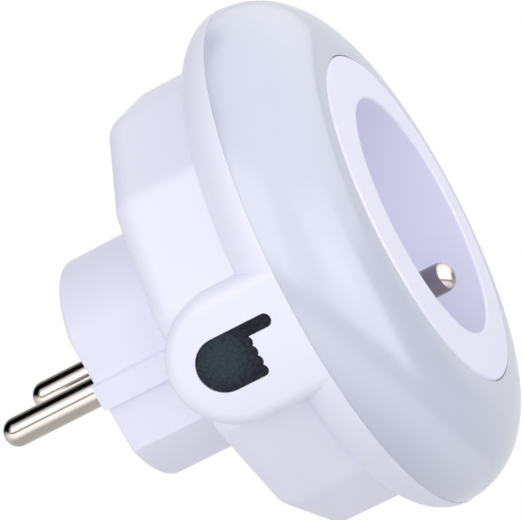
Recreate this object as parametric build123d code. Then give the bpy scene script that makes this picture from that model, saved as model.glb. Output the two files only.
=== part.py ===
from build123d import *
import os
from math import cos, radians, sin, sqrt, tan

os.makedirs("parts", exist_ok=True)

# Plug in night light with a through socket.
# Millimetres, +Z up with the earth pin above the contacts, +Y into the wall, +X right from the front.
# Origin: on the plug's axis, on the rear face of the boss that goes into the wall socket.

# ---- plug and socket, as the standard has them ----
pin_dia = 4.8
pin_spacing = 19.0
pin_length = 19.0
earth_offset = 10.0
pin_tip_round = 2.3
earth_hole_dia = 5.4
contact_hole_dia = 5.4
well_dia = 39.7
well_depth = 15.0
earth_pin_sink = 0.15

# ---- rear housing ----
boss_dia = 37.1
boss_length = 19.1
boss_across_flats = 31.4
boss_edge = 0.8
rib_foot_width = 4.5
rib_top_width = 4.0
rib_height = 1.45
drum_faces = 12
drum_across_flats = 71.0
drum_corner_round = 4.4
drum_length = 14.8
drum_edge = 3.8
drum_wall = 1.4
insert_thickness = 3.0
insert_ledge_width = 1.2
insert_ledge_depth = 1.2
tongue_wall = 1.0
rim_dia = 84.2
rim_depth = 7.0
rim_straight = 1.2
rim_draft = 0.1
rim_round_fullness = 0.66
rim_crease_round = 6.0
housing_wall = 2.2
drum_end_wall = 2.4
ledge_wall = 2.2
rim_wall = 2.3
rim_pocket_depth = 3.9

# ---- sensor housing and its window ----
sensor_width = 20.0
sensor_drop = 0.4
sensor_edge = 2.3
sensor_top_wall = 2.1
hand_from_rear = 4.95
hand_drop = 0.5
palm_length = 9.05
palm_height = 8.05
finger_length = 4.4
finger_width = 1.85
knuckle_count = 4
knuckle_rise = 0.45
window_recess = 1.4
window_sink = 0.15
window_gap = 0.12
window_bed_gap = 0.05
aperture_length = 6.4
aperture_width = 6.0

# ---- front cover ----
collar_dia = 54.9
collar_thickness = 1.6
collar_rise = 0.55
collar_proud = 0.2
collar_bevel = 0.3
mouth_round = 0.4
well_wall = 2.0
floor_wall = 2.0

# ---- light ring ----
bulge_height = 12.5
diffuser_wall = 1.8
diffuser_seat_width = 2.7
skirt_wall = 1.65
led_board_post_gap = 1.3
led_board_thickness = 1.2
led_count = 18
led_length = 3.5
led_width = 2.8
led_height = 0.9
led_well_dia = 2.1
led_well_depth = 0.3
reflector_wall = 1.0
reflector_lean = 1.2

# ---- metalwork ----
shoulder_dia = 5.2
flange_dia = 7.0
flange_thickness = 1.5
tail_dia = 3.2
rivet_dia = 4.4
rivet_height = 0.9
strap_thickness = 1.0
strap_width = 6.0
strap_wall_gap = 0.4
earth_strap_width = 5.0
earth_strap_wall_gap = 0.9
strap_foot_reach = 3.0
contact_outer = 6.4
contact_bore = 5.0
contact_base = 0.7
contact_slot = 0.8
contact_tip_room = 0.25
earth_contact_outer = 6.8
earth_contact_bore = 5.0

# ---- contact carrier, shutter and spring ----
carrier_dia = 37.2
carrier_rear_gap = 2.5
sleeve_outer = 7.8
sleeve_gap = 0.3
chamber_depth = 6.2
chamber_half_width = 13.5
chamber_end_gap = 0.6
spring_channel_width = 7.0
spring_room = 4.2
shutter_travel = 6.2
shutter_gap = 0.25
shutter_side_gap = 0.3
shutter_top = 3.4
shutter_bottom = 3.6
shutter_inner = 5.4
wedge_foot = 0.85
wedge_land = 1.0
bridge_thickness = 5.0
bridge_drop = 4.0
bridge_rise = 2.0
spigot_dia = 2.0
spigot_length = 1.5
spring_dia = 3.7
spring_wire = 0.45
spring_turns = 6
spring_end_gap = 0.1

# ---- screws and posts ----
post_radius = 24.2
post_dia = 5.8
post_web = 2.4
case_screw_dia = 2.9
case_screw_length = 11.5
case_head_dia = 5.6
case_head_height = 1.4
case_head_recess = 1.6
case_pad_dia = 9.0
case_pad_height = 1.5
carrier_post_x = 11.6
carrier_post_z = 8.9
carrier_post_dia = 5.0
carrier_post_height = 4.5
carrier_screw_dia = 2.2
carrier_screw_length = 5.8
carrier_web = 2.25
carrier_head_dia = 4.2
carrier_head_height = 1.5
board_standoff = 4.5
board_post_turn = 66.0
board_post_wall_gap = 0.6
board_post_dia = 5.0
board_screw_dia = 2.0
board_screw_length = 5.0
board_head_dia = 3.8
board_head_height = 1.3
sensor_post_z = 5.6
sensor_post_dia = 3.2
sensor_screw_dia = 1.6
sensor_screw_length = 4.0
sensor_head_dia = 2.8
sensor_head_height = 0.9
head_round_share = 0.4
cross_length_share = 0.64
cross_depth_share = 0.55
cross_width = 0.7
point_share = 0.3
screw_gap = 0.1

# ---- boards and what is on them ----
board_carrier_gap = 1.6
board_drum_gap = 0.9
board_top = 10.2
board_thickness = 1.6
sensor_board_gap = 0.4
sensor_board_thickness = 1.2
sensor_board_drop = 4.0
dropper_size = (13.0, 8.0, 6.0)
dropper_edge = 0.6
smoother_dia = 6.3
smoother_height = 7.5
can_edge = 0.4
can_sink = 0.15
smoother_turn = -29.0
bridge_size = (4.7, 2.5, 3.9)
bridge_edge = 0.3
bridge_leg_size = (6.6, 0.3, 0.55)
bridge_leg_pitch = 2.4
bridge_turn = 28.0
chip_size = (5.0, 1.5, 3.9)
chip_edge = 0.2
chip_leg_size = (0.4, 0.3, 5.5)
chip_leg_count = 4
chip_board_gap = 0.2
chip_leg_pitch = 1.27
fusible_dia = 3.2
fusible_length = 6.2
fusible_edge = 0.6
fusible_turn = -57.0
fusible_lead_dia = 0.6
fusible_lead_span = 8.0
fusible_lift = 0.4
resistor_size = (2.0, 0.6, 1.25)
resistor_board_gap = 1.6
resistor_xs = (-8.4, -5.4, 5.4, 8.4)
component_wall_gap = 1.3
emitter_dia = 3.0
emitter_round = 1.35
emitter_collar_dia = 3.6
emitter_collar_height = 1.0
emitter_place = (2.3, 0.0)
receiver_size = (2.6, 4.0, 4.6)
receiver_place = (-2.4, 0.0)
lens_dia = 3.2
lens_rise = 0.9
lens_round = 0.7

# ---- leads ----
mains_lead_dia = 1.3
mains_lead_start_z = -1.5
mains_lead_out = 2.6
mains_lead_drop = (9.0, -14.5, -8.0)
mains_lead_bend = (8.0, -10.6)
mains_lead_pad = (11.6, -21.4)
led_lead_dia = 1.1
led_lead_x = 8.0
led_lead_pitch = 1.6
led_lead_lean = 0.4
led_lead_ledge_gap = 3.5
led_lead_board_gap = 3.8
sensor_lead_dia = 0.9
sensor_lead_pitch = 1.05
sensor_lead_out = 2.4
sensor_lead_dip = 2.0
sensor_lead_rise = 4.4
sensor_lead_start_z = -1.0
sensor_lead_bend_z = -7.6
sensor_lead_wall_gap = 3.5
sensor_lead_pad_z = -12.0
sensor_lead_post_gap = 4.8
bend_share = 0.45

# ---- fits ----
pin_hole_gap = 0.1
mould_gap = 0.15
weld_gap = 0.05
seat_gap = 0.3

# ---- places along the axis, from the wall outwards ----
y_drum = -boss_length
y_rim = y_drum - drum_length
y_front = y_rim - rim_depth
y_collar = y_front - bulge_height - collar_proud
y_mouth = y_collar - collar_rise
y_floor = y_mouth + well_depth
y_floor_back = y_floor + floor_wall
y_seat = y_collar + collar_thickness
y_drum_inside = y_drum - drum_end_wall
y_insert = -insert_thickness
y_insert_ledge = y_insert - insert_ledge_depth
y_ledge = y_front + rim_pocket_depth
y_led_front = y_ledge - led_board_thickness
y_pin_reach = y_floor + pin_length
y_contact_base = y_pin_reach + contact_tip_room
y_strap_head = y_contact_base + contact_base
y_chamber = y_floor_back + chamber_depth
y_carrier_rear = y_drum_inside - carrier_rear_gap
y_case_pad = y_drum_inside - case_pad_height
y_board_rear = y_drum_inside - board_standoff
y_board_front = y_board_rear - board_thickness
y_shutter_front = y_floor_back + shutter_gap
y_shutter_back = y_chamber - shutter_gap

# ---- radii and sideways places that follow ----
pin_x = pin_spacing / 2
rim_pocket_dia = rim_dia - 2 * rim_wall
drum_bore = drum_across_flats - 2 * drum_wall
boss_bore = boss_dia - 2 * housing_wall
boss_flat_inside = boss_across_flats / 2 - housing_wall
ledge_bore = boss_bore - 2 * insert_ledge_width
strap_offset = boss_flat_inside - strap_wall_gap - strap_thickness / 2 - pin_x
earth_strap_offset = boss_bore / 2 - earth_strap_wall_gap - strap_thickness / 2 - earth_offset
board_inner = carrier_dia + 2 * board_carrier_gap
board_outer = drum_bore - 2 * board_drum_gap
board_post_radius = (drum_bore - board_post_dia) / 2 - board_post_wall_gap
board_post_x = board_post_radius * sin(radians(board_post_turn))
board_post_z = board_post_radius * cos(radians(board_post_turn))
sensor_radius = sensor_width / 2
y_sensor = y_drum - sensor_radius
sensor_cavity_radius = sensor_radius - housing_wall
x_sensor_inside = rim_dia / 2 - sensor_top_wall
y_sensor_front = y_ledge + ledge_wall
x_sensor_board = x_sensor_inside - sensor_board_drop
led_board_outer = rim_pocket_dia - 2 * seat_gap
led_board_inner = 2 * post_radius + post_dia + 2 * led_board_post_gap
spring_y = y_shutter_back - bridge_thickness / 2
chamber_drop = shutter_bottom + shutter_travel + chamber_end_gap
spring_foot = bridge_drop + shutter_travel + spring_room
corner_turns = (45, 135, 225, 315)


def disc(dia, y_low, y_high, x=0.0, z=0.0):
    """A round bar along Y."""
    place = Pos(x, (y_low + y_high) / 2, z) * Rot(90, 0, 0)
    return place * Cylinder(dia / 2, y_high - y_low)


def flatted_disc(dia, flat, y_low, y_high):
    """A round bar along Y with a flat on each side, at its distance from the middle."""
    return disc(dia, y_low, y_high) & block(-flat, flat, y_low, y_high, -dia, dia)


def side_disc(dia, x_low, x_high, y, z):
    """A round bar along X."""
    place = Pos((x_low + x_high) / 2, y, z) * Rot(0, 90, 0)
    return place * Cylinder(dia / 2, x_high - x_low)


def block(x_low, x_high, y_low, y_high, z_low, z_high):
    """A box between two corners."""
    middle = Pos((x_low + x_high) / 2, (y_low + y_high) / 2, (z_low + z_high) / 2)
    return middle * Box(x_high - x_low, y_high - y_low, z_high - z_low)


def standing_box(size, place, y_foot, y_way):
    """A box of (x, y, z) size on the driver board: y_way is -1 on its front face and 1 on its rear."""
    middle = Pos(place[0], y_foot + y_way * size[1] / 2, place[1])
    return middle * Box(*size)


def corner_place(turn):
    """The x and z of a corner post, at an angle from +X towards +Z."""
    return post_radius * cos(radians(turn)), post_radius * sin(radians(turn))


def ring_place(turn, radius):
    """The x and z of a point on the driver board, at an angle from -Z towards +X."""
    return radius * sin(radians(turn)), -radius * cos(radians(turn))


def turned(line):
    """A body turned about the plug's axis from a closed outline of (radius, y) points."""
    return revolve(make_face(line), Axis.Y)


def side_plane(x):
    """A sketch plane facing +X, whose own x and y are the part's Y and Z."""
    return Plane(origin=(x, 0, 0), x_dir=(0, 1, 0), z_dir=(1, 0, 0))


def side_sheet(sketch, x_low, x_high):
    """A sketch of the side plane, thickened along X."""
    return extrude(side_plane(x_low) * sketch, x_high - x_low)


def round_nose_sketch(radius, front):
    """A U outline: half round at the rear, straight sides to the front."""
    straight = y_sensor - front
    sides = Pos(y_sensor - straight / 2, 0) * Rectangle(straight, 2 * radius)
    nose = Pos(y_sensor, 0) * Circle(radius) & Pos(y_sensor + radius / 2, 0) * Rectangle(radius, 2 * radius)
    return sides + nose


def hand_sketch(grow):
    """A pointing hand: palm with a round heel, one finger forward, and knuckles in a row."""
    half = palm_height / 2
    y_heel = y_drum - hand_from_rear - half
    y_palm = y_drum - hand_from_rear - palm_length
    y_tip = y_palm - finger_length + finger_width / 2
    z_finger = -half + finger_width / 2
    pitch = (palm_height - finger_width) / knuckle_count
    knuckle_radius = ((pitch / 2) ** 2 + knuckle_rise**2) / (2 * knuckle_rise)
    palm = Pos(y_heel, 0) * Circle(half + grow)
    palm += Pos((y_heel + y_palm) / 2, 0) * Rectangle(y_heel - y_palm + 2 * grow, palm_height + 2 * grow)
    for step in range(knuckle_count):
        z_knuckle = half - pitch * (step + 0.5)
        palm += Pos(y_palm + knuckle_radius - knuckle_rise, z_knuckle) * Circle(knuckle_radius + grow)
    y_reach = y_palm - knuckle_rise - grow + 2 * palm_length
    palm &= Pos(y_reach, 0) * RectangleRounded(4 * palm_length, palm_height + 2 * grow, finger_width / 2)
    finger = Pos((y_heel + y_tip) / 2, z_finger) * Rectangle(y_heel - y_tip, finger_width + 2 * grow)
    finger += Pos(y_tip, z_finger) * Circle(finger_width / 2 + grow)
    return Pos(0, -hand_drop) * (palm + finger)


def screw(head_dia, head_height, shank_dia, shank_length):
    """A pan-head screw along Y, with the head's underside at y = 0 and the head towards +Y."""
    head = disc(head_dia, 0, head_height)
    head = fillet(head.edges().group_by(Axis.Y)[-1], head_height * head_round_share)
    reach = head_dia * cross_length_share / 2
    floor = head_height * (1 - cross_depth_share)
    cross = block(-reach, reach, floor, head_height, -cross_width / 2, cross_width / 2)
    cross += Rot(0, 90, 0) * cross
    shank = disc(shank_dia, -shank_length, 0)
    shank = chamfer(shank.edges().group_by(Axis.Y)[0], shank_dia * point_share)
    return head + shank - cross


def lead(points, dia):
    """A wire whose bends are as wide as its runs allow."""
    radii = []
    for before, corner, after in zip(points, points[1:], points[2:]):
        run_in = Vector(corner) - Vector(before)
        run_out = Vector(after) - Vector(corner)
        half_turn = radians(run_in.get_angle(run_out)) / 2
        radii.append(bend_share * min(run_in.length, run_out.length) / tan(half_turn))
    path = FilletPolyline(*points, radius=radii)
    return sweep(Plane(origin=path @ 0, z_dir=path % 0) * Circle(dia / 2), path=path)


# ---- rear housing: drum, rim and sensor housing in one moulding, with the boss welded on ----


def tongue_form(gap):
    """The boss's tongue, which goes through the drum's end wall, or its hole there."""
    flat = boss_flat_inside + tongue_wall + gap
    return flatted_disc(boss_bore + 2 * (tongue_wall + gap), flat, y_drum_inside, y_drum)


def boss_rib():
    """The rib along the boss's flat on the +X side, narrower at its top."""
    flat, foot, top = boss_across_flats / 2, rib_foot_width / 2, rib_top_width / 2
    outline = [(flat - rib_height, -foot), (flat, -foot), (flat + rib_height, -top)]
    outline += [(x, -z) for x, z in reversed(outline)]
    return extrude(Plane.XZ * make_face(Polyline(*outline, close=True)), boss_length)


def plug_boss():
    boss = flatted_disc(boss_dia, boss_across_flats / 2, y_drum, 0)
    boss = fillet(boss.edges().group_by(Axis.Y)[-1], boss_edge)
    boss += boss_rib() + Rot(0, 180, 0) * boss_rib()
    boss += tongue_form(0)
    boss -= flatted_disc(boss_bore, boss_flat_inside, y_drum_inside, y_insert_ledge)
    boss -= flatted_disc(ledge_bore, boss_flat_inside, y_insert_ledge, y_insert)
    return boss - flatted_disc(boss_bore, boss_flat_inside, y_insert, 0)


def plug_insert():
    flat = boss_flat_inside - weld_gap
    insert = flatted_disc(boss_bore - 2 * weld_gap, flat, y_insert, 0)
    for x in (-pin_x, pin_x):
        insert -= disc(shoulder_dia + pin_hole_gap, y_insert, 0, x=x)
    return insert - disc(earth_hole_dia, y_insert, 0, z=earth_offset)


def drum_form():
    """The drum's even number of flat faces, one of them square to +X and one to +Z."""
    turn = 180 / drum_faces
    outline = RegularPolygon(drum_across_flats / 2, drum_faces, major_radius=False, rotation=turn)
    outline = fillet(outline.vertices(), drum_corner_round)
    drum = extrude(Plane(origin=(0, y_drum, 0), z_dir=(0, -1, 0)) * outline, y_drum - y_ledge)
    return fillet(drum.edges().group_by(Axis.Y)[-1], drum_edge)


def rim_form():
    radius = rim_dia / 2
    crease = (radius - rim_draft, y_front + rim_straight)
    rear = (drum_across_flats / 2, y_rim)
    middle_r = rear[0] + (crease[0] - rear[0]) * rim_round_fullness
    middle_y = crease[1] + (rear[1] - crease[1]) * rim_round_fullness
    line = Polyline((0, y_rim), (0, y_front), (radius, y_front), crease)
    line += ThreePointArc(crease, (middle_r, middle_y), rear)
    line += Line(rear, (0, y_rim))
    outline = make_face(line)
    outline = fillet(outline.vertices().sort_by_distance(crease)[0], rim_crease_round)
    return revolve(outline, Axis.Y)


def sensor_form():
    outline = Pos(0, -sensor_drop) * round_nose_sketch(sensor_radius, y_front)
    pad = side_sheet(outline, drum_bore / 2 - housing_wall, rim_dia)
    pad &= disc(rim_dia, y_front, y_drum)
    top = [edge for edge in pad.edges() if edge.center().X > rim_dia / 2 - sensor_edge]
    top = [edge for edge in top if edge.center().Y > y_front + mould_gap]
    return fillet(top, sensor_edge)


def housing_cavities():
    hollow = tongue_form(weld_gap) + disc(drum_bore, y_ledge, y_drum_inside)
    hollow += disc(rim_pocket_dia, y_front, y_ledge)
    nook = round_nose_sketch(sensor_cavity_radius, y_sensor_front)
    return hollow + side_sheet(nook, drum_bore / 2 - housing_wall, x_sensor_inside)


def window_cuts():
    y_heel = y_drum - hand_from_rear - palm_height / 2
    opening = Pos(y_heel - aperture_length / 4, 0) * RectangleRounded(aperture_length, aperture_width, 1.0)
    recess = side_sheet(hand_sketch(window_gap), rim_dia / 2 - window_recess, rim_dia)
    return recess + side_sheet(opening, x_sensor_inside - mould_gap, rim_dia)


def rear_housing():
    shell = drum_form() + rim_form() + sensor_form()
    shell -= housing_cavities()
    shell -= window_cuts()
    for turn in corner_turns:
        x, z = corner_place(turn)
        shell += disc(case_pad_dia, y_case_pad, y_drum_inside, x, z)
        shell -= disc(case_head_dia + 2 * seat_gap, y_drum - case_head_recess, y_drum, x, z)
        shell -= disc(case_screw_dia + 2 * screw_gap, y_case_pad, y_drum, x, z)
    for side in (-1, 1):
        x, z = side * board_post_x, -board_post_z
        shell += disc(board_post_dia, y_board_rear, y_drum_inside, x, z)
        shell -= disc(board_screw_dia + screw_gap, y_board_rear, y_drum_inside, x, z)
        z = side * sensor_post_z
        shell += side_disc(sensor_post_dia, x_sensor_board, x_sensor_inside, y_sensor, z)
        shell -= side_disc(sensor_screw_dia + screw_gap, x_sensor_board, x_sensor_inside, y_sensor, z)
    return shell


def sensor_window():
    top_dia = rim_dia - 2 * window_sink
    x_bed = rim_dia / 2 - window_recess + window_bed_gap
    return side_sheet(hand_sketch(0), x_bed, rim_dia) & disc(top_dia, 2 * y_front, 0)


# ---- front cover and light ring ----


def front_cover():
    inner, outer = well_dia / 2, well_dia / 2 + well_wall
    collar = collar_dia / 2
    outline = [
        (inner, y_mouth),
        (collar - collar_bevel, y_collar),
        (collar, y_collar + collar_bevel),
        (collar, y_seat),
        (outer, y_seat),
        (outer, y_floor_back),
        (0, y_floor_back),
        (0, y_floor),
        (inner, y_floor),
    ]
    cover = turned(Polyline(*outline, close=True))
    mouth = cover.edges().filter_by(GeomType.CIRCLE).group_by(Axis.Y)[0]
    cover = fillet(mouth, mouth_round)
    post_start = y_seat + diffuser_wall + seat_gap
    web = block(inner + well_wall / 2, post_radius, post_start, y_floor_back, -post_web / 2, post_web / 2)
    for turn in corner_turns:
        x, z = corner_place(turn)
        cover += Rot(0, -turn, 0) * web
        cover += disc(post_dia, post_start, y_case_pad, x, z)
        cover -= disc(case_screw_dia + screw_gap, y_case_pad - case_screw_length, y_case_pad, x, z)
    for side in (-1, 1):
        cover -= disc(contact_hole_dia, y_floor, y_floor_back, x=side * pin_x)
        x, z = side * carrier_post_x, carrier_post_z
        cover += disc(carrier_post_dia, y_floor_back, y_floor_back + carrier_post_height, x, z)
        cover -= disc(carrier_screw_dia + screw_gap, y_floor_back, y_floor_back + carrier_post_height, x, z)
    return cover - disc(shoulder_dia + pin_hole_gap, y_floor, y_floor_back, z=earth_offset)


def diffuser_ring():
    centre_r = collar_dia / 2 + mould_gap
    reach = rim_dia / 2 - mould_gap - centre_r
    skirt = rim_pocket_dia / 2 - mould_gap
    inner_reach, inner_rise = reach - diffuser_wall, bulge_height - diffuser_wall
    seat = collar_dia / 2 - diffuser_seat_width
    seat_back = y_seat + diffuser_wall
    skirt_inside = skirt - skirt_wall
    drop = inner_rise * sqrt(1 - ((skirt_inside - centre_r) / inner_reach) ** 2)
    step_r = centre_r + reflector_wall
    step_y = y_front - inner_rise * sqrt(1 - ((step_r - centre_r) / inner_reach) ** 2)
    inner_mid_r = centre_r + inner_reach * cos(radians(45))
    inner_mid_y = y_front - inner_rise * sin(radians(45))
    line = EllipticalCenterArc((centre_r, y_front), reach, bulge_height, start_angle=-90, arc_size=90)
    line += Polyline((centre_r + reach, y_front), (skirt, y_front), (skirt, y_led_front))
    line += Polyline((skirt, y_led_front), (skirt_inside, y_led_front), (skirt_inside, y_front - drop))
    line += ThreePointArc((skirt_inside, y_front - drop), (inner_mid_r, inner_mid_y), (step_r, step_y))
    line += Polyline((step_r, step_y), (step_r, seat_back), (seat, seat_back), (seat, y_seat))
    line += Polyline((seat, y_seat), (centre_r, y_seat), (centre_r, y_front - bulge_height))
    return turned(line)


def reflector_ring():
    top_in = collar_dia / 2 + mould_gap
    foot_in = top_in + reflector_lean
    top_y = y_seat + diffuser_wall
    outline = [
        (foot_in, y_led_front),
        (foot_in + reflector_wall, y_led_front),
        (top_in + reflector_wall - mould_gap, top_y),
        (top_in - mould_gap, top_y),
    ]
    return turned(Polyline(*outline, close=True))


def led_board():
    return disc(led_board_outer, y_led_front, y_ledge) - disc(led_board_inner, y_led_front, y_ledge)


def led_chips():
    foot_outer = collar_dia / 2 + mould_gap + reflector_lean + reflector_wall
    pitch_radius = (foot_outer + rim_pocket_dia / 2 - mould_gap - skirt_wall) / 2
    y_top = y_led_front - led_height
    chip = block(-led_length / 2, led_length / 2, y_top, y_led_front, -led_width / 2, led_width / 2)
    chip -= disc(led_well_dia, y_top, y_top + led_well_depth)
    chip = Pos(0, 0, pitch_radius) * chip
    return Part(children=[Rot(0, 360 * step / led_count, 0) * chip for step in range(led_count)])


# ---- metalwork ----


def plug_pin(x):
    shank = disc(pin_dia, y_insert, pin_length, x=x)
    shank = fillet(shank.edges().group_by(Axis.Y)[-1], pin_tip_round)
    flange_end = y_insert - flange_thickness
    pin = shank + disc(shoulder_dia, y_insert, 0, x=x) + disc(flange_dia, flange_end, y_insert, x=x)
    tail_end = flange_end - strap_thickness
    pin += disc(tail_dia, tail_end, flange_end, x=x)
    return pin + disc(rivet_dia, tail_end - rivet_height, tail_end, x=x)


def earth_pin():
    tip = y_mouth + earth_pin_sink
    shank = disc(pin_dia, tip, y_floor_back, z=earth_offset)
    shank = fillet(shank.edges().group_by(Axis.Y)[0], pin_tip_round)
    flange_end = y_floor_back + flange_thickness
    tail_end = flange_end + strap_thickness
    pin = shank + disc(shoulder_dia, y_floor, y_floor_back, z=earth_offset)
    pin += disc(flange_dia, y_floor_back, flange_end, z=earth_offset)
    pin += disc(tail_dia, flange_end, tail_end, z=earth_offset)
    return pin + disc(rivet_dia, tail_end, tail_end + rivet_height, z=earth_offset)


def strap(y_low, y_high, width, offset, hole_y):
    """A C-shaped strap: two feet on the pin's axis (x = 0) joined by a riser at +X."""
    outline = Polyline(
        (-strap_foot_reach, y_low),
        (offset + strap_thickness / 2, y_low),
        (offset + strap_thickness / 2, y_high),
        (-strap_foot_reach, y_high),
        (-strap_foot_reach, y_high - strap_thickness),
        (offset - strap_thickness / 2, y_high - strap_thickness),
        (offset - strap_thickness / 2, y_low + strap_thickness),
        (-strap_foot_reach, y_low + strap_thickness),
        close=True,
    )
    body = extrude(make_face(outline), width / 2, both=True)
    return body - disc(tail_dia + screw_gap, hole_y, hole_y + strap_thickness)


def mains_strap():
    y_foot = y_insert - flange_thickness - strap_thickness
    return strap(y_strap_head, y_foot + strap_thickness, strap_width, strap_offset, y_foot)


def live_strap():
    return Pos(pin_x, 0, 0) * mains_strap()


def neutral_strap():
    return mirror(live_strap(), Plane.YZ)


def earth_strap():
    y_foot = y_floor_back + flange_thickness
    y_head = y_insert - earth_contact_length()
    bar = strap(y_foot, y_head, earth_strap_width, earth_strap_offset, y_foot)
    return Pos(0, 0, earth_offset) * Rot(0, -90, 0) * bar


def earth_contact_length():
    """From the insert to the strap: the wall's earth pin fits inside."""
    return boss_length - insert_thickness - strap_width / 2


def socket_contact(x):
    y_tip = y_chamber + seat_gap
    tube = disc(contact_outer, y_tip, y_strap_head, x=x) - disc(contact_bore, y_tip, y_contact_base, x=x)
    slot_end = y_contact_base - contact_outer / 2
    slot = block(-contact_outer, contact_outer, y_tip, slot_end, -contact_slot / 2, contact_slot / 2)
    return tube - Pos(x, 0, 0) * slot


def earth_contact():
    y_head = y_insert - earth_contact_length()
    y_tip = y_insert - seat_gap
    tube = disc(earth_contact_outer, y_head, y_tip, z=earth_offset)
    tube -= disc(earth_contact_bore, y_head + contact_base, y_tip, z=earth_offset)
    slot_start = y_head + earth_contact_outer / 2
    reach = earth_contact_outer
    slot = block(-contact_slot / 2, contact_slot / 2, slot_start, y_tip, -reach, reach)
    return tube - Pos(0, 0, earth_offset) * slot


# ---- contact carrier, shutter and spring ----


def contact_carrier():
    carrier = disc(carrier_dia, y_floor_back, y_carrier_rear)
    half = chamber_half_width
    top = shutter_top + shutter_side_gap
    carrier -= block(-half, half, y_floor_back, y_chamber, -chamber_drop, top)
    channel = spring_channel_width / 2
    carrier -= block(-channel, channel, y_floor_back, y_chamber, -spring_foot, -chamber_drop)
    notch = earth_strap_width / 2 + seat_gap
    notch_low = earth_offset - flange_dia / 2 - seat_gap
    carrier -= disc(flange_dia + 2 * seat_gap, y_floor_back, y_carrier_rear, z=earth_offset)
    carrier -= block(-notch, notch, y_floor_back, y_carrier_rear, notch_low, carrier_dia)
    y_web = y_floor_back + carrier_post_height + mould_gap
    for side in (-1, 1):
        carrier += disc(sleeve_outer, y_carrier_rear, y_drum_inside - sleeve_gap, x=side * pin_x)
        carrier -= disc(contact_outer + 2 * mould_gap, y_chamber, y_drum_inside, x=side * pin_x)
        x, z = side * carrier_post_x, carrier_post_z
        carrier -= disc(carrier_post_dia + 2 * mould_gap, y_floor_back, y_web, x, z)
        carrier -= disc(carrier_screw_dia + 2 * screw_gap, y_floor_back, y_carrier_rear, x, z)
        carrier -= disc(carrier_head_dia + 2 * seat_gap, y_web + carrier_web, y_carrier_rear, x, z)
    return carrier


def shutter():
    outer = chamber_half_width - shutter_side_gap
    wedge = Polyline(
        (y_shutter_back, -shutter_bottom),
        (y_shutter_back, shutter_top),
        (y_shutter_back - wedge_foot, shutter_top),
        (y_shutter_front, -shutter_bottom + wedge_land),
        (y_shutter_front, -shutter_bottom),
        close=True,
    )
    wing = side_sheet(make_face(wedge), shutter_inner, outer)
    y_bridge = y_shutter_back - bridge_thickness
    bridge = block(-shutter_inner, shutter_inner, y_bridge, y_shutter_back, -bridge_drop, bridge_rise)
    spigot = Pos(0, spring_y, -bridge_drop - spigot_length / 2) * Cylinder(spigot_dia / 2, spigot_length)
    return wing + mirror(wing, Plane.YZ) + bridge + spigot


def shutter_spring():
    low = -spring_foot + spring_end_gap + spring_wire / 2
    high = -bridge_drop - spring_end_gap - spring_wire / 2
    radius = (spring_dia - spring_wire) / 2
    coil = Helix((high - low) / spring_turns, high - low, radius, center=(0, spring_y, low))
    return sweep(Plane(origin=coil @ 0, z_dir=coil % 0) * Circle(spring_wire / 2), path=coil, is_frenet=True)


# ---- boards ----


def driver_board():
    board = disc(board_outer, y_board_front, y_board_rear) - disc(board_inner, y_board_front, y_board_rear)
    board &= block(-board_outer, board_outer, y_board_front, y_board_rear, -board_outer, -board_top)
    for turn in corner_turns:
        board -= disc(post_dia + 2 * seat_gap, y_board_front, y_board_rear, *corner_place(turn))
    for side in (-1, 1):
        hole = board_screw_dia + 2 * screw_gap
        board -= disc(hole, y_board_front, y_board_rear, side * board_post_x, -board_post_z)
    return board


def dropper_capacitor():
    reach = drum_bore / 2 - component_wall_gap
    z = dropper_size[2] / 2 - sqrt(reach**2 - (dropper_size[0] / 2) ** 2)
    body = standing_box(dropper_size, (0, z), y_board_front, -1)
    return fillet(body.edges().group_by(Axis.Y)[0], dropper_edge)


def smoothing_capacitor():
    x, z = ring_place(smoother_turn, (drum_bore - smoother_dia) / 2 - component_wall_gap)
    y_top = y_board_front - smoother_height
    can = disc(smoother_dia, y_top, y_board_front, x, z)
    can = fillet(can.edges().group_by(Axis.Y)[0], can_edge)
    return can - disc(smoother_dia - 4 * can_edge, y_top, y_top + can_sink, x, z)


def bridge_rectifier():
    body = standing_box(bridge_size, (0, 0), 0, -1)
    body = chamfer(body.edges().group_by(Axis.Y)[0], bridge_edge)
    for side in (-1, 1):
        body += standing_box(bridge_leg_size, (0, side * bridge_leg_pitch / 2), 0, -1)
    x, z = ring_place(bridge_turn, (drum_bore - bridge_size[2]) / 2 - component_wall_gap)
    return Pos(x, y_board_front, z) * Rot(0, -bridge_turn, 0) * body


def control_chip():
    z = -(board_inner + chip_leg_size[2]) / 2 - chip_board_gap
    body = standing_box(chip_size, (0, z), y_board_rear, 1)
    body = chamfer(body.edges().group_by(Axis.Y)[-1], chip_edge)
    first = -chip_leg_pitch * (chip_leg_count - 1) / 2
    for step in range(chip_leg_count):
        body += standing_box(chip_leg_size, (first + step * chip_leg_pitch, z), y_board_rear, 1)
    return body


def fusible_resistor():
    body = Rot(0, 90, 0) * Cylinder(fusible_dia / 2, fusible_length)
    body = fillet(body.edges(), fusible_edge)
    drop = fusible_dia / 2 + fusible_lift
    reach = fusible_lead_span / 2
    wire = lead([(-reach, drop, 0), (-reach, 0, 0), (reach, 0, 0), (reach, drop, 0)], fusible_lead_dia)
    x, z = ring_place(fusible_turn, (board_inner + board_outer) / 4)
    return Pos(x, y_board_front - drop, z) * Rot(0, 90 - fusible_turn, 0) * (body + wire)


def chip_resistors():
    z = -(board_inner + resistor_size[2]) / 2 - resistor_board_gap
    return Part(children=[standing_box(resistor_size, (x, z), y_board_rear, 1) for x in resistor_xs])


def sensor_board():
    sketch = round_nose_sketch(sensor_cavity_radius - sensor_board_gap, y_sensor_front + sensor_board_gap)
    x_back = x_sensor_board - sensor_board_thickness
    board = side_sheet(sketch, x_back, x_sensor_board)
    for side in (-1, 1):
        hole = sensor_screw_dia + 2 * screw_gap
        board -= side_disc(hole, x_back, x_sensor_board, y_sensor, side * sensor_post_z)
    return board


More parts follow.
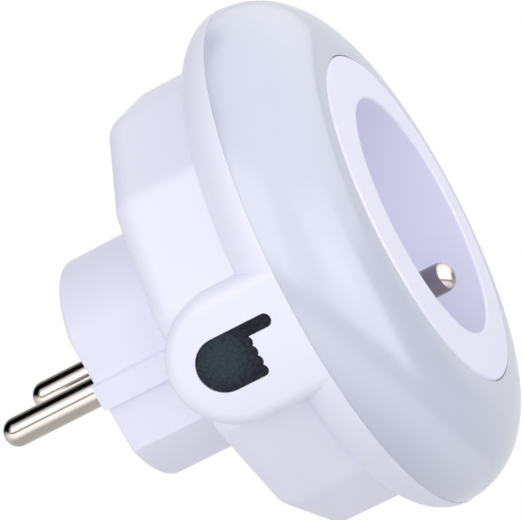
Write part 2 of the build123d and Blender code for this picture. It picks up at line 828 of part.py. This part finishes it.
def infrared_emitter():
    y, z = y_sensor + emitter_place[0], emitter_place[1]
    top = x_sensor_inside - seat_gap
    dome = side_disc(emitter_dia, x_sensor_board, top, y, z)
    dome = fillet(dome.edges().group_by(Axis.X)[-1], emitter_round)
    collar_top = x_sensor_board + emitter_collar_height
    return dome + side_disc(emitter_collar_dia, x_sensor_board, collar_top, y, z)


def infrared_receiver():
    y, z = y_sensor + receiver_place[0], receiver_place[1]
    height, length, width = receiver_size
    x_face = x_sensor_board + height
    body = block(x_sensor_board, x_face, y - length / 2, y + length / 2, z - width / 2, z + width / 2)
    lens = side_disc(lens_dia, x_face, x_face + lens_rise, y, z)
    return body + fillet(lens.edges().group_by(Axis.X)[-1], lens_round)


# ---- fasteners ----


def case_screws():
    seat = y_drum - case_head_recess
    one = screw(case_head_dia, case_head_height, case_screw_dia, case_screw_length)
    places = [corner_place(turn) for turn in corner_turns]
    return Part(children=[Pos(x, seat, z) * one for x, z in places])


def carrier_screws():
    seat = y_floor_back + carrier_post_height + mould_gap + carrier_web
    one = screw(carrier_head_dia, carrier_head_height, carrier_screw_dia, carrier_screw_length)
    return Part(children=[Pos(side * carrier_post_x, seat, carrier_post_z) * one for side in (-1, 1)])


def board_screws():
    one = screw(board_head_dia, board_head_height, board_screw_dia, board_screw_length)
    one = Rot(0, 0, 180) * one
    return Part(children=[Pos(side * board_post_x, y_board_front, -board_post_z) * one for side in (-1, 1)])


def sensor_screws():
    one = Rot(0, 0, 90) * screw(sensor_head_dia, sensor_head_height, sensor_screw_dia, sensor_screw_length)
    x = x_sensor_board - sensor_board_thickness
    return Part(children=[Pos(x, y_sensor, side * sensor_post_z) * one for side in (-1, 1)])


# ---- internal leads ----


def live_lead():
    x_start = pin_x + strap_offset - strap_thickness / 2
    y_start = (y_strap_head + y_insert) / 2
    y_turn = y_drum_inside - carrier_rear_gap / 2
    x_bend, z_bend = mains_lead_bend
    x_pad, z_pad = mains_lead_pad
    points = [
        (x_start, y_start, mains_lead_start_z),
        (x_start - mains_lead_out, y_start, mains_lead_start_z),
        mains_lead_drop,
        (x_bend, y_turn, z_bend),
        (x_pad, y_turn, z_pad),
        (x_pad, y_board_rear, z_pad),
    ]
    return lead(points, mains_lead_dia)


def neutral_lead():
    return mirror(live_lead(), Plane.YZ)


def led_lead(x):
    gap = (y_board_front - y_ledge) / 4
    z_front = led_lead_ledge_gap - drum_bore / 2
    z_rear = led_lead_board_gap - board_outer / 2
    points = [
        (x, y_ledge, z_front),
        (x, y_ledge + gap, z_front),
        (x + led_lead_lean, y_board_front - gap, z_rear),
        (x + led_lead_lean, y_board_front, z_rear),
    ]
    return lead(points, led_lead_dia)


def led_lead_positive():
    return led_lead(-led_lead_x)


def led_lead_negative():
    return led_lead(-led_lead_x - led_lead_pitch)


def sensor_leads():
    x_face = x_sensor_board - sensor_board_thickness
    y_run = y_board_front - sensor_lead_rise
    y_start = y_run + sensor_lead_dip
    x_bend = drum_bore / 2 - sensor_lead_wall_gap
    x_pad = board_post_x - sensor_lead_post_gap
    wires = []
    for step in range(3):
        shift = -sensor_lead_pitch * step
        points = [
            (x_face, y_start, sensor_lead_start_z + shift),
            (x_face - sensor_lead_out, y_start, sensor_lead_start_z + shift),
            (x_bend, y_run, sensor_lead_bend_z + shift),
            (x_pad, y_run, sensor_lead_pad_z + shift),
            (x_pad, y_board_front, sensor_lead_pad_z + shift),
        ]
        wires.append(lead(points, sensor_lead_dia))
    return Part(children=wires)


nodes = {
    "rear_housing": rear_housing,
    "plug_boss": plug_boss,
    "plug_insert": plug_insert,
    "front_cover": front_cover,
    "diffuser_ring": diffuser_ring,
    "sensor_window": sensor_window,
    "plug_pin_left": lambda: plug_pin(-pin_x),
    "plug_pin_right": lambda: plug_pin(pin_x),
    "earth_pin": earth_pin,
    "earth_strap": earth_strap,
    "earth_contact": earth_contact,
    "live_strap": live_strap,
    "neutral_strap": neutral_strap,
    "socket_contact_left": lambda: socket_contact(-pin_x),
    "socket_contact_right": lambda: socket_contact(pin_x),
    "contact_carrier": contact_carrier,
    "shutter": shutter,
    "shutter_spring": shutter_spring,
    "reflector_ring": reflector_ring,
    "led_board": led_board,
    "led_chips": led_chips,
    "driver_board": driver_board,
    "dropper_capacitor": dropper_capacitor,
    "smoothing_capacitor": smoothing_capacitor,
    "bridge_rectifier": bridge_rectifier,
    "control_chip": control_chip,
    "fusible_resistor": fusible_resistor,
    "chip_resistors": chip_resistors,
    "sensor_board": sensor_board,
    "infrared_emitter": infrared_emitter,
    "infrared_receiver": infrared_receiver,
    "case_screws": case_screws,
    "carrier_screws": carrier_screws,
    "board_screws": board_screws,
    "sensor_screws": sensor_screws,
    "live_lead": live_lead,
    "neutral_lead": neutral_lead,
    "led_lead_positive": led_lead_positive,
    "led_lead_negative": led_lead_negative,
    "sensor_leads": sensor_leads,
}

for name, make in nodes.items():
    export_step(make(), f"parts/{name}.step")
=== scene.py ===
from math import cos, radians, sin

import bmesh
import bpy
from mathutils import Matrix, Vector


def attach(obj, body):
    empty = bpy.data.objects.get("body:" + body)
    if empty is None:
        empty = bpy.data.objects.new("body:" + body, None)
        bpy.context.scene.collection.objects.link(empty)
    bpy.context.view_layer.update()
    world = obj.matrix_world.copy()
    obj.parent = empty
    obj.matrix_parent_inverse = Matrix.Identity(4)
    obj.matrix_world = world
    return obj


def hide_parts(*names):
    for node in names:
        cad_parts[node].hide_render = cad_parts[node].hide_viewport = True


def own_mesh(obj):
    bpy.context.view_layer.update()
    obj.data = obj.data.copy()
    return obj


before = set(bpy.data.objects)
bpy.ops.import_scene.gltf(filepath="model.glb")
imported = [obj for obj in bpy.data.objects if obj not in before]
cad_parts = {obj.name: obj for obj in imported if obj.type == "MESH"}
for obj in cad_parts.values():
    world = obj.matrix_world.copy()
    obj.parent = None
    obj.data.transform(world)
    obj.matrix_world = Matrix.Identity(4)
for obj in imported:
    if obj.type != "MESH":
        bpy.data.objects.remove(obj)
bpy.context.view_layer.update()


# ---- Rear housing ----
# The white moulding that carries everything: a drum with flat sides, the rim that the light ring
# sits in, and a raised housing for the hand sensor. Injection moulded ABS with a fine satin finish.

class Socket:
    """One output in a material: its operators add Math nodes, and node() adds any other node."""

    def __init__(self, tree, output=None):
        self.tree = tree
        self.output = output

    def node(self, kind, settings=(), values=(), output=0):
        made = self.tree.nodes.new(kind)
        for name, value in dict(settings).items():
            setattr(made, name, value)
        for name, value in dict(values).items():
            if isinstance(value, Socket):
                self.tree.links.new(value.output, made.inputs[name])
            else:
                made.inputs[name].default_value = value
        return Socket(self.tree, made.outputs[output])

    def math(self, operation, left, right):
        return self.node("ShaderNodeMath", {"operation": operation}, {0: left, 1: right})

    def __add__(self, other):
        return self.math("ADD", self, other)

    def __radd__(self, other):
        return self.math("ADD", other, self)

    def __sub__(self, other):
        return self.math("SUBTRACT", self, other)

    def __rsub__(self, other):
        return self.math("SUBTRACT", other, self)

    def __mul__(self, other):
        return self.math("MULTIPLY", self, other)

    def __rmul__(self, other):
        return self.math("MULTIPLY", other, self)


def from_srgb(*levels):
    """A colour as a picture editor gives it, 0 to 255, as the shader wants it."""
    shares = [level / 255 for level in levels]
    return tuple(s / 12.92 if s <= 0.04045 else ((s + 0.055) / 1.055) ** 2.4 for s in shares)


def finish(name, look, **constants):
    """A material whose look(start) gives what varies over the surface, by socket name."""
    made = bpy.data.materials.new(name)
    made.use_nodes = True
    tree = made.node_tree
    surface = tree.nodes["Principled BSDF"]
    for constant, value in constants.items():
        socket = constant.replace("_", " ").title().replace("Ior", "IOR")
        surface.inputs[socket].default_value = value
    for socket, value in look(Socket(tree)).items():
        tree.links.new(value.output, surface.inputs[socket])
    return made


def place_on_part(start):
    """Where a point lies on the part, in metres."""
    return start.node("ShaderNodeTexCoord", output="Object")


def cloud(start, grain, detail=2.0, stretch=(1, 1, 1)):
    """Soft noise from 0 to 1 whose grains are about this many metres wide."""
    where = start.node("ShaderNodeVectorMath", {"operation": "MULTIPLY"},
                       {0: place_on_part(start), 1: stretch})
    return start.node("ShaderNodeTexNoise", {"noise_dimensions": "3D"},
                      {"Vector": where, "Scale": 1 / grain, "Detail": detail, "Roughness": 0.5})


def between(start, share, low, high):
    """A colour mixed from two by a share."""
    return start.node("ShaderNodeMix", {"data_type": "RGBA"},
                      {0: share, 6: (*low, 1), 7: (*high, 1)}, output=2)


def bumped(start, height, depth):
    """The surface's normal, raised and lowered by a height of 0 to 1 over a depth in metres."""
    return start.node("ShaderNodeBump",
                      values={"Height": height, "Strength": 1.0, "Distance": depth})


def moulded(name, low, high, roughness, grain=0.0004, depth=0.000004, **constants):
    """Moulded plastic: two near shades in slow clouds over a fine grain, this wide and deep."""
    cloud_width = 0.012
    roughness_spread = 0.10

    def look(start):
        slow = cloud(start, cloud_width, detail=3)
        fine = cloud(start, grain)
        return {
            "Base Color": between(start, slow, low, high),
            "Roughness": roughness + (fine - 0.5) * roughness_spread,
            "Normal": bumped(start, fine, depth),
        }

    return finish(name, look, **constants)


def dress(node, material):
    """A CAD node keeps its shape and takes this material."""
    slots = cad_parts[node].data.materials
    slots.clear()
    slots.append(material)


housing_white = moulded("satin_white_housing", from_srgb(228, 228, 241), from_srgb(232, 232, 245),
                        roughness=0.44, specular_ior_level=0.45)
dress("rear_housing", housing_white)

# ---- Plug boss ----
# The part that goes into the wall socket's well, flat on two sides with a rib on each flat.
# Moulded in the same white plastic and welded to the drum by a tongue.
dress("plug_boss", housing_white)

# ---- Plug insert ----
# The plate that closes the boss's end and holds the pins, moulded in the same white plastic.
# It drops onto a ledge inside the boss and is welded there.
dress("plug_insert", housing_white)


# ---- Plug pins ----
# Two round pins, turned from brass rod and nickel plated, with domed tips.
# Each has a flange behind the insert and is riveted to its strap.

def plated(name, low, high, roughness, along, **constants):
    """Bright metal with fine turning marks; along says how far a mark reaches in X, Y and Z."""
    mark_width, mark_depth = 0.00012, 0.0000003
    cloud_width = 0.004
    roughness_spread = 0.06

    def look(start):
        marks = cloud(start, mark_width, detail=3, stretch=along)
        slow = cloud(start, cloud_width)
        return {
            "Base Color": between(start, slow, low, high),
            "Roughness": roughness + marks * roughness_spread,
            "Normal": bumped(start, marks, mark_depth),
        }

    return finish(name, look, metallic=1.0, **constants)


turned_marks = (0.05, 1, 0.05)
pin_nickel = plated("nickel_plated_pin", from_srgb(182, 174, 168), from_srgb(192, 184, 178),
                    roughness=0.12, along=turned_marks)
for pin in ("plug_pin_left", "plug_pin_right"):
    dress(pin, pin_nickel)

# ---- Mains straps ----
# C-shaped straps that join each pin to the contact behind the well, stamped from brass sheet.
# Each is held by the rivet on its pin and soldered to its contact.
strap_brass = plated("stamped_brass", from_srgb(205, 168, 96), from_srgb(222, 186, 112),
                     roughness=0.28, along=(1, 0.06, 1))
for strap in ("live_strap", "neutral_strap"):
    dress(strap, strap_brass)

# ---- Socket contacts ----
# Slotted spring tubes that grip the pins of a plug, rolled from tin bronze.
# They stand on the straps' heads, in sleeves of the carrier.
contact_bronze = plated("spring_bronze", from_srgb(190, 138, 92), from_srgb(208, 154, 106),
                        roughness=0.25, along=(1, 0.05, 1))
for contact in ("socket_contact_left", "socket_contact_right"):
    dress(contact, contact_bronze)

# ---- Earth path ----
# The earth pin in the well, turned as the plug's pins are but with a duller nickel plate. It is
# riveted to a brass strap whose rear end carries a slotted tube for the wall's earth pin.
dull_nickel = plated("dull_nickel_pin", from_srgb(154, 146, 146), from_srgb(164, 157, 156),
                     roughness=0.14, along=turned_marks)
dress("earth_pin", dull_nickel)
dress("earth_strap", strap_brass)
dress("earth_contact", strap_brass)

# ---- Contact carrier ----
# The grey insulating block behind the well, moulded in flame-proof polyamide.
# It holds the contacts, gives the shutter its chamber, and is screwed to the well's floor.
carrier_grey = moulded("grey_polyamide", from_srgb(150, 153, 156), from_srgb(163, 166, 170),
                       roughness=0.55, grain=0.0006, depth=0.000008)
dress("contact_carrier", carrier_grey)

# ---- Safety shutter ----
# A white acetal slide with a wedge over each pin hole: an entering plug pushes it down.
# It runs in the carrier's chamber, behind the well's floor.
shutter_white = moulded("white_acetal", from_srgb(226, 226, 230), from_srgb(236, 236, 240),
                        roughness=0.35)
dress("shutter", shutter_white)

# ---- Shutter spring ----
# A coil wound from steel wire with its first and last turn closed. It stands on the carrier under
# the shutter's bridge, is pressed together as the shutter goes down, and brings it back.
spring_steel = plated("drawn_spring_wire", from_srgb(150, 152, 156), from_srgb(178, 180, 184),
                      roughness=0.22, along=(1, 1, 1))
dress("shutter_spring", spring_steel)

spring_middle = Vector((0, -0.0337, 0))
wire_foot, wire_top = -0.014075, -0.004325
coil_radius, wire_radius = 0.001625, 0.000225
closed_pitch = 2.1 * wire_radius
open_turns, steps_a_turn, wire_sides = 4, 32, 12


def wire_height(turns):
    """How high the wire's middle is after some turns; the first and the last turn lie closed."""
    closed = min(turns, 1) + max(turns - 1 - open_turns, 0)
    open_share = min(max(turns - 1, 0), open_turns) / open_turns
    open_height = wire_top - wire_foot - 2 * closed_pitch
    return wire_foot + closed_pitch * closed + open_height * open_share


form = bmesh.new()
rings = []
for step in range((open_turns + 2) * steps_a_turn + 1):
    turns = step / steps_a_turn
    outwards = Vector((cos(radians(360 * turns)), sin(radians(360 * turns)), 0))
    wire_middle = spring_middle + outwards * coil_radius + Vector((0, 0, wire_height(turns)))
    ring = []
    for side in range(wire_sides):
        round_wire = radians(360 * side / wire_sides)
        offset = outwards * cos(round_wire) + Vector((0, 0, sin(round_wire)))
        ring.append(form.verts.new(wire_middle + offset * wire_radius))
    rings.append(ring)
for ring, after in zip(rings, rings[1:]):
    for side in range(wire_sides):
        across = (side + 1) % wire_sides
        form.faces.new((ring[side], ring[across], after[across], after[side])).smooth = True
form.faces.new(rings[0])
form.faces.new(reversed(rings[-1]))
bmesh.ops.recalc_face_normals(form, faces=form.faces)
spring_mesh = bpy.data.meshes.new("return_spring")
form.to_mesh(spring_mesh)
form.free()
spring_mesh.materials.append(spring_steel)
return_spring = bpy.data.objects.new("return_spring", spring_mesh)
bpy.context.collection.objects.link(return_spring)
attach(return_spring, "housing")
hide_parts("shutter_spring")
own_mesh(return_spring)


# ---- Driver board ----
# A half-ring circuit board in green solder mask on glass fibre, with the parts that make the
# light's supply from the mains. Two screws hold it on posts in the drum.

def circuit_board(name, mask_low, mask_high):
    """Solder mask over copper tracks, which show as a paler net in it."""
    track_rows = {"Scale": 420.0, "Mortar Size": 0.09}
    weave_width = 0.0005
    mask_depth = 0.00002

    def look(start):
        gaps = start.node("ShaderNodeTexBrick", {"offset": 0.37, "offset_frequency": 3},
                          {"Vector": place_on_part(start), **track_rows}, output=1)
        weave = cloud(start, weave_width)
        return {
            "Base Color": between(start, 1 - gaps, mask_low, mask_high),
            "Roughness": 0.32 + weave * 0.12,
            "Normal": bumped(start, 1 - gaps, mask_depth),
        }

    return finish(name, look)


board_green = circuit_board("green_solder_mask", from_srgb(24, 92, 52), from_srgb(16, 66, 38))
dress("driver_board", board_green)

# ---- Parts on the driver board ----
# A boxed dropper capacitor, a sleeved smoothing can, a bridge rectifier, a control chip, a
# fusible resistor and four small resistors, all soldered by their legs.
dress("dropper_capacitor",
      moulded("yellow_capacitor_case", from_srgb(214, 168, 44), from_srgb(228, 184, 60),
              roughness=0.4))
dress("smoothing_capacitor",
      moulded("black_sleeve", from_srgb(26, 27, 32), from_srgb(38, 40, 46), roughness=0.3))
epoxy_black = moulded("black_epoxy", from_srgb(28, 28, 30), from_srgb(42, 42, 44),
                      roughness=0.6, grain=0.0002, depth=0.000006)
for part in ("bridge_rectifier", "control_chip", "chip_resistors"):
    dress(part, epoxy_black)
dress("fusible_resistor",
      moulded("lacquered_resistor", from_srgb(108, 148, 152), from_srgb(130, 168, 170),
              roughness=0.45))

# ---- Hand sensor ----
# A small board under the sensor housing with an infrared emitter and receiver behind the window.
# Both lenses are cast epoxy, and two screws hold the board.
dress("sensor_board", board_green)
dress("infrared_emitter",
      moulded("clear_blue_epoxy", from_srgb(176, 196, 226), from_srgb(196, 212, 236),
              roughness=0.08, transmission_weight=0.6))
dress("infrared_receiver",
      moulded("dark_lens_epoxy", from_srgb(26, 22, 28), from_srgb(40, 34, 42),
              roughness=0.1, coat_weight=0.6))


# ---- Sensor window ----
# A smoked acrylic window in the shape of a pointing hand, clear to infrared and dark to the eye.
# It is pressed into its recess with a hair's gap around.

def smoked(start):
    """Dark smoked acrylic with a painted reflection: paler in the middle of the palm, nearly black
    at the edges.
    """
    # Where the painted reflection is brightest, and the distances over which it fades to dark at
    # the edges.
    painted_reflection_middle = (0.0420, -0.0282, -0.0013)
    reflection_gone_at, reflection_brightest_within, raggedness = 0.0060, 0.0008, 0.0016
    milk_width, mottle_width, milk_depth = 0.0011, 0.0005, 0.000004

    off = start.node("ShaderNodeVectorMath", {"operation": "SUBTRACT"},
                     {0: place_on_part(start), 1: painted_reflection_middle})
    far = start.node("ShaderNodeVectorMath", {"operation": "LENGTH"}, {0: off}, output="Value")
    milky = cloud(start, milk_width, detail=4)
    ragged_far = far + (milky - 0.5) * raggedness
    painted_reflection = start.node("ShaderNodeMapRange", {"interpolation_type": "SMOOTHSTEP"},
                     {"Value": ragged_far, "From Min": reflection_gone_at, "From Max": reflection_brightest_within})
    mottle = cloud(start, mottle_width, detail=4)
    # The share mixes the painted reflection with a random mottle in the smoke.
    share = painted_reflection * 0.8 + (mottle - 0.5) * 1.7 + 0.1
    return {
        "Base Color": between(start, share, from_srgb(15, 10, 27), from_srgb(44, 56, 64)),
        "Roughness": 0.30 + milky * 0.1,
        "Normal": bumped(start, milky, milk_depth),
    }


# The window's colour carries a painted reflection, pale in the middle of the palm and dark at the
# edges.
dress("sensor_window", finish("smoked_acrylic", smoked, specular_ior_level=0.12))

# ---- Light engine ----
# Eighteen white light-emitting diodes on an aluminium ring board under the light ring, with a
# white reflector that throws their light outwards. The board rests on the rim's ledge.
dress("led_board",
      moulded("white_solder_mask", from_srgb(226, 226, 222), from_srgb(236, 236, 232),
              roughness=0.35))


def phosphor(start):
    """Yellow phosphor in a cast gel, which is never quite even."""
    gel_width, gel_depth = 0.0006, 0.00002
    gel = cloud(start, gel_width, detail=3)
    return {
        "Base Color": between(start, gel, from_srgb(240, 226, 150), from_srgb(246, 236, 176)),
        "Roughness": 0.3 + gel * 0.2,
        "Normal": bumped(start, gel, gel_depth),
    }


dress("led_chips",
      finish("diode_phosphor", phosphor, subsurface_weight=0.2, subsurface_scale=0.0005))
dress("reflector_ring",
      moulded("white_reflector", from_srgb(236, 236, 236), from_srgb(242, 242, 242),
              roughness=0.6))

# ---- Light ring ----
# The opal ring that glows: a domed polycarbonate moulding, milky and polished outside.
# Its inner lip lies under the collar and its skirt stands in the rim.
opal = moulded("opal_polycarbonate", from_srgb(203, 206, 221), from_srgb(206, 209, 224),
               roughness=0.18, grain=0.003, depth=0.000001,
               subsurface_weight=0.35, subsurface_scale=0.0012, subsurface_radius=(1, 1, 1))
dress("diffuser_ring", opal)

# ---- Front cover ----
# The collar and the well that a plug goes into, one white moulding with four posts behind.
# It clamps the light ring and is screwed down from the rear.
cover_white = moulded("satin_white_cover", from_srgb(230, 229, 245), from_srgb(234, 233, 249),
                      roughness=0.5)
dress("front_cover", cover_white)

# ---- Screws ----
# Pan-head screws with a cross recess, in zinc plated steel: the largest hold the case together,
# and smaller ones hold the contact carrier, the driver board and the sensor board.
zinc = plated("zinc_plate", from_srgb(176, 180, 190), from_srgb(196, 198, 204),
              roughness=0.26, along=(1, 0.1, 1))
for screws in ("case_screws", "carrier_screws", "board_screws", "sensor_screws"):
    dress(screws, zinc)

# ---- Leads inside ----
# Stranded copper in soft PVC, cut to length and soldered at both ends: from the mains straps to
# the driver board, and from there to the diodes' board and to the hand sensor.
lead_colours = {
    "live_lead": (112, 70, 44),
    "neutral_lead": (44, 88, 168),
    "led_lead_positive": (178, 36, 32),
    "led_lead_negative": (34, 34, 36),
    "sensor_leads": (132, 134, 138),
}
for node, level in lead_colours.items():
    paler = tuple(min(255, value * 1.12 + 6) for value in level)
    dress(node, moulded(node + "_pvc", from_srgb(*level), from_srgb(*paler),
                        roughness=0.42, grain=0.0006, depth=0.000006))

# ---- Camera ----
# It stands a little below the object and looks slightly up, rolled so that the plug points down
# to the left. A long lens keeps the perspective flat.
camera_data = bpy.data.cameras.new("camera")
camera_data.lens = 237.17
camera_data.sensor_width = 36.0
camera_data.clip_end = 20.0
camera = bpy.data.objects.new("camera", camera_data)
camera_right = Vector((-0.17715022, -0.85493143, 0.48755517))
camera_up = Vector((-0.25947741, -0.43729161, -0.86107347))
camera_back = Vector((0.94936256, -0.27904891, -0.14436909))
camera_place = Vector((0.50303, -0.17619, -0.08161))
camera_turn = Matrix((camera_right, camera_up, camera_back)).transposed().to_4x4()
camera.matrix_world = Matrix.Translation(camera_place) @ camera_turn
bpy.context.collection.objects.link(camera)
bpy.context.scene.camera = camera

# ---- Floor ----
# A sheet of pale paper well below the object. Shiny surfaces don't mirror it, because the light
# tent further down stands in for it there.
floor_height, floor_reach = -0.8, 3.0
floor_mesh = bpy.data.meshes.new("floor")
form = bmesh.new()
bmesh.ops.create_grid(form, x_segments=8, y_segments=8, size=floor_reach,
                      matrix=Matrix.Translation((0, 0, floor_height)))
form.to_mesh(floor_mesh)
form.free()
floor = bpy.data.objects.new("floor", floor_mesh)
bpy.context.collection.objects.link(floor)


def paper(start):
    """Matt paper with short pale fibres."""
    fibre_width, fibre_depth = 0.004, 0.00005
    fibre = cloud(start, fibre_width, detail=3)
    return {
        "Base Color": between(start, fibre, from_srgb(238, 238, 240), from_srgb(243, 243, 245)),
        "Roughness": 0.85 + fibre * 0.1,
        "Normal": bumped(start, fibre, fibre_depth),
    }


floor_mesh.materials.append(finish("pale_paper", paper))
floor.visible_glossy = False

# ---- Surround ----
# White to the camera, to mirrors and through glass, and a slightly cooler and weaker white as the
# light that falls on the object from all sides.
surround_light = {"Color": (0.935, 0.94, 0.985, 1), "Strength": 0.71}
surround_seen = {"Color": (1, 1, 1, 1), "Strength": 1.0}
world = bpy.data.worlds.new("surround")
bpy.context.scene.world = world
world.use_nodes = True
sky = Socket(world.node_tree)
seen = sky.node("ShaderNodeLightPath", output="Is Camera Ray")
mirrored = sky.node("ShaderNodeLightPath", output="Is Glossy Ray")
passed = sky.node("ShaderNodeLightPath", output="Is Transmission Ray")
white = sky.math("MAXIMUM", sky.math("MAXIMUM", seen, mirrored), passed)
soft_light = sky.node("ShaderNodeBackground", values=surround_light)
white_light = sky.node("ShaderNodeBackground", values=surround_seen)
mixed = sky.node("ShaderNodeMixShader", values={0: white, 1: soft_light, 2: white_light})
world.node_tree.links.new(mixed.output, world.node_tree.nodes["World Output"].inputs["Surface"])


# ---- Lamps ----
# Four square soft lamps: one beside the camera, one to its left, one above that and one from the
# upper right. They are faintly tinted, and mirrors don't show them.
object_middle = Vector((0, -0.02, 0))
lamp_width = 0.3


def soft_lamp(name, place, watts, colour):
    """A square soft lamp that faces the middle of the object."""
    lamp = bpy.data.lights.new(name, "AREA")
    lamp.size = lamp_width
    lamp.energy = watts
    lamp.color = colour
    made = bpy.data.objects.new(name, lamp)
    made.location = place
    made.rotation_euler = (object_middle - Vector(place)).to_track_quat("-Z", "Y").to_euler()
    made.visible_camera = False
    made.visible_glossy = False
    bpy.context.collection.objects.link(made)


soft_lamp("front", (0.522, -0.153, -0.079), 0.48, (0.98, 0.99, 1.0))
soft_lamp("left", (0.438, 0.224, -0.246), 0.34, (0.95, 0.97, 1.0))
soft_lamp("above", (0.24, 0.26, -0.43), 0.33, (0.98, 0.98, 1.0))
soft_lamp("upper_right", (0.163, -0.499, -0.164), 0.48, (1.0, 0.995, 0.98))

# ---- Light tent ----
# What shiny surfaces mirror, and nothing else sees: soft boxes and a lit ceiling in front, a grey
# wall with a seam behind, a black flag at the left and a pale table below.
tent_reach = 2.0
tent_heights = sorted([*range(-90, 91, 2), 24.5, 24.8, 25.4, 25.7])
tent_turns = range(-164, 197, 2)
wall_level = 0.9
table_level, table_shine, table_shine_turn = 0.8, 1.7, 15
table_shine_heights, table_shine_blur = (-36, 0), 26
table_edge, table_edge_blur = (-90, -19), 1.5
ceiling_mean, ceiling_swing, ceiling_bright_turn = 2.5, 1.1, 45
ceiling_edge, ceiling_edge_blur = (26, 90), 0.7
ceiling_foot, ceiling_full, straight_up = 25, 45, 90
ceiling_foot_share, straight_up_level = 0.66, 3.1
tent_patches = (
    # turns and heights in degrees, where a turn of 0 faces the camera, then the blur and the level
    ((126, 196), (24.8, 25.4), 0.3, 0.02),
    ((97, 131), (3, 20), 2.0, 0.7),
    ((-56, -32), (-16, -9), 3.0, 0.4),
    ((-5, 26), (0, 43), 5.0, 3.3),
    ((-49, -8), (0, 39), 7.0, 4.8),
    ((31, 83), (0, 38), 6.0, 4.5),
    ((48, 60), (17, 23), 9.0, 5.9),
    ((-150, -72), (-3, 50), 12.0, 0.3),
    ((-128, -74), (-3, 49), 4.0, 0.0),
)


def fade(value, limits, blur):
    """1 between two limits, falling to 0 over a blur outside them."""
    return max(0.0, min(1.0, (value - limits[0]) / blur + 1, (limits[1] - value) / blur + 1))


def tent_level(turn_here, height_here):
    """How bright the tent is at a turn and a height in degrees."""
    towards_shine = 0.5 + 0.5 * cos(radians(turn_here - table_shine_turn))
    shine_here = towards_shine * fade(height_here, table_shine_heights, table_shine_blur)
    table = table_level + table_shine * shine_here
    near = ceiling_mean + ceiling_swing * cos(radians(turn_here - ceiling_bright_turn))
    rise = (height_here - ceiling_foot) / (ceiling_full - ceiling_foot)
    ceiling = near * min(1, ceiling_foot_share + (1 - ceiling_foot_share) * rise)
    overhead = max(0, height_here - ceiling_full) / (straight_up - ceiling_full)
    ceiling += (straight_up_level - near) * overhead
    level = wall_level
    level += (table - level) * fade(height_here, table_edge, table_edge_blur)
    level += (ceiling - level) * fade(height_here, ceiling_edge, ceiling_edge_blur)
    for turns, heights, blur, patch in tent_patches:
        level += (patch - level) * fade(turn_here, turns, blur) * fade(height_here, heights, blur)
    return level


tent_mesh = bpy.data.meshes.new("light_tent")
form = bmesh.new()
glow = form.verts.layers.float.new("glow")
rows = []
for height_here in tent_heights:
    row = []
    for turn_here in tent_turns:
        across, up = radians(turn_here), radians(height_here)
        way = (camera_right * (cos(up) * sin(across)) + camera_up * sin(up)
               + camera_back * (cos(up) * cos(across)))
        corner = form.verts.new(way * tent_reach)
        corner[glow] = tent_level(turn_here, height_here)
        row.append(corner)
    rows.append(row)
for low, high in zip(rows, rows[1:]):
    for left in range(len(low) - 1):
        form.faces.new((low[left], low[left + 1], high[left + 1], high[left]))
form.to_mesh(tent_mesh)
form.free()
tent = bpy.data.objects.new("light_tent", tent_mesh)
bpy.context.collection.objects.link(tent)


def lit_cloth(start):
    """Cloth that glows as brightly as its vertices say."""
    glow_here = start.node("ShaderNodeAttribute", {"attribute_name": "glow"}, output="Fac")
    return {"Emission Color": glow_here}


tent_mesh.materials.append(finish("lit_cloth", lit_cloth, base_color=(0, 0, 0, 1),
                                  specular_ior_level=0.0, emission_strength=1.0))
for hidden_from in ("camera", "diffuse", "transmission", "volume_scatter", "shadow"):
    setattr(tent, "visible_" + hidden_from, False)

# ---- Picture ----
# Colours are shown as they are.
bpy.context.scene.view_settings.view_transform = "Standard"
